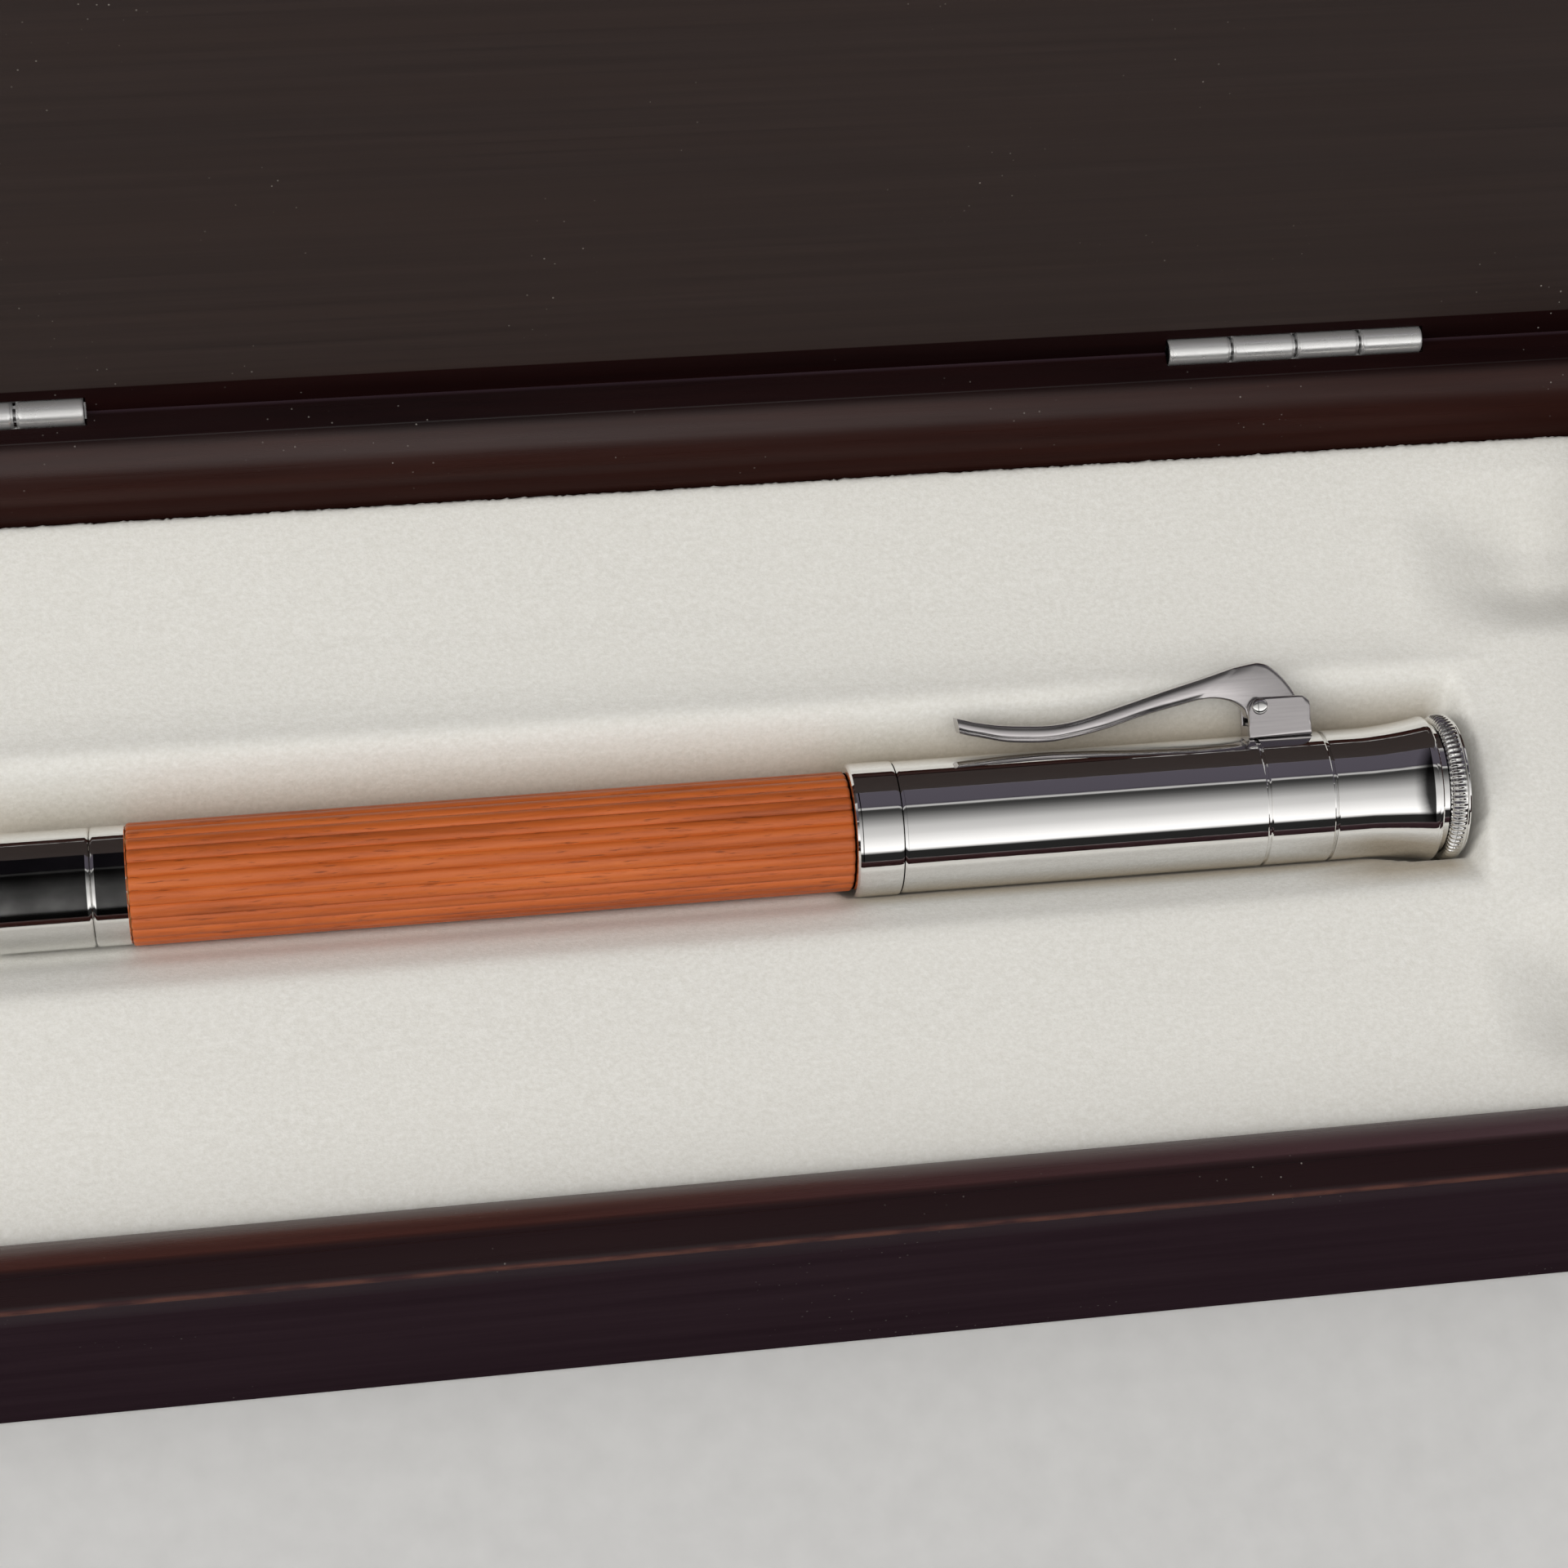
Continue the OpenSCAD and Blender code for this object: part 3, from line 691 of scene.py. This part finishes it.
crown = [(0.001, 2.32), (6.1, 2.32), (6.12, 2.94), (6.6, 2.98), (6.76, 3.04), (6.84, 3.16), (6.86, 3.32),
         (6.84, 3.46), (6.8, 3.52)]
crown += [(CAP_R + 0.65 * (1 - k / 16) ** 1.7, 3.52 + 5.98 * k / 16) for k in range(1, 17)]
crown += [(CAP_R, SEAM_S - 0.24), (CAP_R - 0.04, SEAM_S - 0.16), (CAP_R - 0.2, SEAM_S - 0.1),
          (CAP_R - 0.2, SEAM_S - 0.02), (5.2, SEAM_S - 0.02), (0.001, SEAM_S - 0.12)]
lathe("crown_body", crown, M_CAP, "pen_cap", ["cap_crown"], 192, 25)

knurled = [(5.62, 2.24), (6.3, 2.24), (6.7, 2.1), (6.88, 1.9), (6.93, 1.6), (6.94, 1.3), (6.94, 1.05),
           (6.92, 0.85), (6.84, 0.72), (6.66, 0.66), (5.62, 0.66)]
lathe("knurled_ring", knurled, M_METAL, "pen_cap", ["crown_knurled_ring"], 960, 60, knurl)

disc = [(0.001, 0.0), (2, 0.01), (4, 0.05), (5.6, 0.15), (6.3, 0.27), (6.52, 0.38), (6.58, 0.5), (6.55, 0.6),
        (5.58, 0.62), (5.58, 2.2), (0.001, 2.2)]
lathe("end_disc", disc, M_CAP, "pen_cap", ["crown_end_disc"], 128, 30)

wood = [(4.51, 58.62), (5.36, 58.62), (5.5, 58.72), (WOOD_R, 58.9)]
wood += [(WOOD_R, s) for s in np.linspace(60, 123, 22)]
wood += [(WOOD_R, 123.55), (5.48, 123.72), (5.36, 123.8), (4.51, 123.8)]
lathe("ribbed_barrel", wood, M_RIBBED, "pen_barrel", ["barrel_wood"], RIBS * 14, 50, rib)

ring = [(4.52, 123.86), (5.3, 123.86), (5.4, 123.96), (5.4, 126.75), (5.34, 126.9), (5.22, 127.0),
        (4.52, 127.0)]
lathe("end_ring", ring, M_METAL, "pen_barrel", ["barrel_end_ring"], 160, 25)

end = [(0.001, 124.0), (4.03, 124.0), (4.03, 127.06), (5.22, 127.06), (5.34, 127.16), (5.4, 127.32),
       (5.4, 133.9)]
end += [(1.5 + 3.9 * math.cos(a), PEN_LEN - 3.6 + 3.6 * math.sin(a)) for a in np.radians(range(0, 91, 6))]
end += [(0.001, PEN_LEN)]
lathe("end_cap", end, M_METAL, "pen_barrel", ["barrel_end_cap"], 160, 25)


# ---------------------------------------------------------------- clip
# outlines are [radius, distance from the crown end] in the tilted plane of the clip
CLIP_TURN = math.radians(90 - CLIP_TILT)
CLIP_OUT = Vector((0, math.sin(CLIP_TURN), math.cos(CLIP_TURN)))
CLIP_SIDE = Vector((0, -math.cos(CLIP_TURN), math.sin(CLIP_TURN)))
PIVOT = (8.95, 19.1)
# pairs of points on the lever's outer and inner edge, from the tip over the hump to the tail
LEVER = [((9.75, 47.8), (8.35, 47.6)), ((9.5, 46.9), (8.05, 46.7)), ((9.25, 46.0), (7.85, 45.8)),
         ((8.85, 43.9), (7.3, 43.6)), ((8.6, 41.5), (7.05, 41.6)), ((8.5, 38.8), (6.95, 39.4)),
         ((8.85, 36), (7.1, 37.6)), ((9.85, 32.05), (7.7, 34.1)), ((10.9, 28.1), (8.75, 30.15)),
         ((11.9, 24.1), (9.5, 26.6)), ((12.7, 21.1), (9.92, 24.4)), ((13, 19.3), (9.9, 22.9)),
         ((13.0, 18.6), (9.5, 21.45)), ((12.65, 17.7), (8.75, 20.4)), ((11.65, 16.6), (7.95, 20.1)),
         ((10.6, 15.8), (7.6, 19.5)), ((9.7, 15.3), (7.6, 18.2)), ((8.6, 15.0), (7.6, 16.9)),
         ((7.9, 15.1), (7.6, 16.0))]
LEVER_STEPS, HUMP_STEP, LEVER_HALF_W = 6, 60, 1.2
CHEEK = [(6.0, 14.15), (7.4, 14.12), (8.7, 14.1), (9.15, 14.2), (9.5, 14.5), (9.7, 14.9), (9.75, 15.4),
         (9.75, 17.2), (9.75, 18.9), (9.65, 19.45), (9.4, 19.85), (9.0, 20.1), (8.5, 20.2), (7.4, 20.2),
         (6.0, 20.2)]
CHEEK_HALF_T, CHEEK_OFF = 0.3, 1.55
FOOT_PLATE = [(5.95, 14.15), (7.1, 14.15), (7.1, 17), (7.1, 20.2), (5.95, 20.2)]


def clip_point(r, s, off):
    return (Vector((PEN_END - s, PEN_Y, PEN_Z)) + CLIP_OUT * r + CLIP_SIDE * off) * MM


def rounded_plate(name, outline, half, off, replaces, rim, rings=4):
    """A plate with a convex outline whose rims roll over to both side faces; rim(r, s) is their radius."""
    P = np.array(outline, float)
    tangent = np.roll(P, -1, 0) - np.roll(P, 1, 0)
    tangent /= np.linalg.norm(tangent, axis=1)[:, None]
    normal = np.stack([tangent[:, 1], -tangent[:, 0]], 1)
    if np.sum(P[:, 0] * np.roll(P[:, 1], -1) - np.roll(P[:, 0], -1) * P[:, 1]) < 0:
        normal = -normal
    rims = np.array([rim(*q) for q in P])
    verts = []
    for sg in (-1, 1):
        for k in (range(rings, -1, -1) if sg < 0 else range(rings + 1)):
            a = math.pi / 2 * k / rings
            drop = np.minimum(rims, half) * (1 - math.sin(a))
            edge = P - normal * (rims * (1 - math.cos(a)))[:, None]
            verts += [clip_point(r, s, off + sg * (half - e)) for (r, s), e in zip(edge, drop)]
    ob = new_piece(name, verts, capped_loft(2 * (rings + 1), len(P)), M_SATIN, "pen_cap",
                   replaces, 60.0)
    ob.modifiers.new("normals", "WEIGHTED_NORMAL").keep_sharp = True


def lever_side(i, h):
    """[(half width, height)] of one side of the lever's section, h high, at step i."""
    top = min(0.45 if i > HUMP_STEP else 0.2, 0.3 * h)
    foot = min(0.34 if i < HUMP_STEP else 0.24, 0.34 * h)
    crown = 0.085 * min(h, 2.2)
    flank = [(LEVER_HALF_W - crown * (1.9 * (t - 0.55)) ** 2, foot + (h - foot - top) * t)
             for t in np.linspace(0, 1, 9)]
    low = [(flank[0][0] - foot + foot * math.cos(a), foot - foot * math.sin(a))
           for a in np.linspace(math.pi / 2, 0.25, 5)]
    high = [(flank[-1][0] - top + top * math.cos(a), h - top + top * math.sin(a))
            for a in np.linspace(0.25, math.pi / 2, 5)]
    return low + flank + high


def clip_arm():
    """Lofts crowned, rounded sections between paired points of the outer and inner edge of the lever."""
    outer, inner = (catmull([pair[k] for pair in LEVER], LEVER_STEPS) for k in (0, 1))
    verts = []
    for i, (high, low) in enumerate(zip(outer, inner)):
        h = np.linalg.norm(high - low)
        up = (high - low) / h
        side = lever_side(i, h)
        section = side + [(-x, y) for x, y in side[::-1]]
        verts += [clip_point(*(low + up * y), x) for x, y in section]
    new_piece("clip_arm", verts, capped_loft(len(outer), len(section)), M_SATIN, "pen_clip",
              ["clip_lever"], 50.0)


def pin_head():
    """Domed end of the clip pin, just proud of the bracket's cheek."""
    n, dome = 32, [(0.8, 1.84), (0.8, 1.92), (0.75, 2.06), (0.6, 2.2), (0.34, 2.29)]
    turns = [2 * math.pi * i / n for i in range(n)]
    verts = [clip_point(PIVOT[0] + r * math.cos(a), PIVOT[1] + r * math.sin(a), off)
             for r, off in dome for a in turns]
    tip = len(verts)
    verts.append(clip_point(*PIVOT, 2.32))
    last = tip - n
    faces = loft(len(dome), n) + [(last + i, last + (i + 1) % n, tip) for i in range(n)] + [tuple(range(n))]
    new_piece("pin_head", verts, faces, M_CAP, "pen_cap", (), 60.0)


clip_arm()
rounded_plate("clip_cheek_front", CHEEK, CHEEK_HALF_T, CHEEK_OFF, ["clip_bracket"],
              lambda r, s: 0.5 if s < 14.6 else 0.2)
rounded_plate("clip_cheek_back", CHEEK, CHEEK_HALF_T, -CHEEK_OFF, (), lambda r, s: 0.2)
rounded_plate("clip_foot", FOOT_PLATE, 1.3, 0.0, (), lambda r, s: 0.04)
pin_head()


# ---------------------------------------------------------------- CAD nodes that stay, and the knuckles
def finish_node(node, mat, bevel=0.0):
    """Gives a CAD node its material and, if asked for, a small bevel."""
    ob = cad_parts[node]
    for slot in ob.material_slots:
        slot.material = mat
    if bevel:
        b = ob.modifiers.new("edge", "BEVEL")
        b.width = bevel * MM
        b.segments = 2
        b.limit_method = "ANGLE"
        b.angle_limit = math.radians(40)
        b.harden_normals = False


def knuckle(name, x0, x1, body):
    """One rolled barrel segment of a hinge with rounded-over ends."""
    R, tiny, n = KNUCKLE_R, 0.01, 56
    half = [(tiny, 0), (R - 0.18, 0), (R - 0.08, 0.05), (R - 0.01, 0.2), (R, 0.4)]
    prof = [(r, x0 + d) for r, d in half] + [(r, x1 - d) for r, d in half[::-1]]
    turns = [2 * math.pi * i / n for i in range(n)]
    verts = [(x * MM, (AXIS_Y + r * math.cos(a)) * MM, (BASE_H + r * math.sin(a)) * MM)
             for r, x in prof for a in turns]
    new_piece(name, verts, capped_loft(len(prof), n), M_HINGE, body, (), 40.0)


for hinge, sg in (("left", -1), ("right", 1)):
    for i in range(4):
        x0 = sg * HINGE_X - HINGE_L / 2 + i * (KNUCKLE_L + KNUCKLE_GAP)
        knuckle("knuckle_%s_%d" % (hinge, i + 1), x0 + 0.12 * (i > 0), x0 + KNUCKLE_L - 0.12 * (i < 3),
                "lid" if i % 2 else "case")
for hinge in ("left", "right"):
    finish_node("hinge_base_leaf_" + hinge, M_HINGE, 0.08)
    finish_node("hinge_lid_leaf_" + hinge, M_HINGE, 0.08)
    finish_node("hinge_pin_" + hinge, M_STEEL)
for node, mat in (("hinge_base_brads", M_BRASS), ("hinge_lid_brads", M_BRASS), ("barrel_tube", M_BRASS),
                  ("grip_section", M_BLACK), ("inner_cap", M_BLACK), ("feed", M_BLACK), ("nib", M_NIB),
                  ("ink_converter", M_CONVERTER), ("section_ring", M_METAL), ("base_floor", M_PANEL),
                  ("tray_support_rails", M_PANEL), ("felt_pad", M_FELT), ("tray_core", M_FOAM),
                  ("clip_spring", M_STEEL), ("clip_pin", M_STEEL)):
    finish_node(node, mat)


# ---------------------------------------------------------------- floor, lights, surroundings, camera
# brightness of the surroundings by the angle in degrees from the front (0) over the top to the back (180)
ROOM = [(0, 0.05), (8, 0.02), (25, 0.02), (30, 1.22), (36, 1.18), (46, 0.95), (58, 0.68), (70, 0.56),
        (79, 0.34), (87, 0.18), (93, 0.08), (98, 0.04), (101, 0.05), (102.5, 0.5), (104.5, 0.5), (106, 0.06),
        (109, 0.085), (134, 0.09), (141, 0.42), (150, 0.55), (180, 0.5)]
NEUTRAL, PURPLE = (1, 0.985, 0.97), (1, 0.9, 1.12)


def floor():
    """Plain pale paper under the case, in a grid of squares."""
    n, size = 24, 3.0
    steps = [-size + 2 * size * i / n for i in range(n + 1)]
    verts = [(x, y, -0.0001) for x in steps for y in steps]
    corners = [i * (n + 1) + j for i in range(n) for j in range(n)]
    me = bpy.data.meshes.new("floor")
    me.from_pydata(verts, [], [(a, a + n + 1, a + n + 2, a + 1) for a in corners])
    ob = add_object("floor", me)
    m = Mat("floor_paper")
    f = m.noise(300.0, 4)
    paper = m.ramp(f, [(0.3, (0.62, 0.62, 0.615)), (0.7, (0.66, 0.66, 0.655))])
    me.materials.append(m.set(Base_Color=paper, Roughness=0.9, Normal=m.bump(f, 0.0001, 0.2)))


def area(name, place, width, depth, power):
    """A soft warm-white panel aimed at the case, kept out of mirror reflections."""
    data = bpy.data.lights.new(name, "AREA")
    data.shape = "RECTANGLE"
    data.size, data.size_y = width, depth
    data.energy = power
    data.color = (1.0, 0.985, 0.96)
    ob = add_object(name, data)
    ob.location = place
    ob.rotation_euler = (Vector((0, 0, 0.03)) - Vector(place)).to_track_quat("-Z", "Y").to_euler()
    ob.visible_glossy = False


def studio_world():
    """Dim room with a broad bright window in front and bands behind, darker straight to the side."""
    world = bpy.data.worlds.new("studio")
    world.use_nodes = True
    w = Nodes(world.node_tree, "Generated")
    x, y, z = w.sep()
    angle = w.math("ARCTAN2", z, w.times(y, -1.0))
    stops = []
    for degrees, level in ROOM:
        tint = PURPLE if 105 < degrees < 135 else NEUTRAL
        stops.append((degrees / 180, tuple(level * c for c in tint)))
    room = w.ramp(w.math("DIVIDE", angle, math.pi), stops)
    beyond = w.math("MAXIMUM", w.range(x, -0.03, 0.02, 0.0, 1.0), w.range(x, -0.07, -0.10, 0.0, 1.0))
    w.link(w.scaled(room, w.range(beyond, 0.0, 1.0, 0.035, 1.0)), w.n["Background"].inputs[0])
    bpy.context.scene.world = world


def camera():
    """From above and in front, a little left of the middle, turned towards the crown."""
    data = bpy.data.cameras.new("camera")
    data.sensor_width = 36.0
    data.lens = 92.4
    data.shift_x = -0.125
    ob = add_object("camera", data)
    ob.location = (-0.0368, -0.1356, 0.3699)
    ob.rotation_euler = [math.radians(a) for a in (22.901, -7.686, -7.686)]
    bpy.context.scene.camera = ob


floor()
area("key", (-1.2, -0.25, 1.0), 0.9, 0.9, 10.5)
area("top", (-0.1, -0.4, 1.4), 1.4, 1.1, 8.8)
area("back", (1.0, 0.8, 1.0), 0.9, 0.9, 2.1)
studio_world()
bpy.context.scene.view_settings.view_transform = "Standard"
camera()
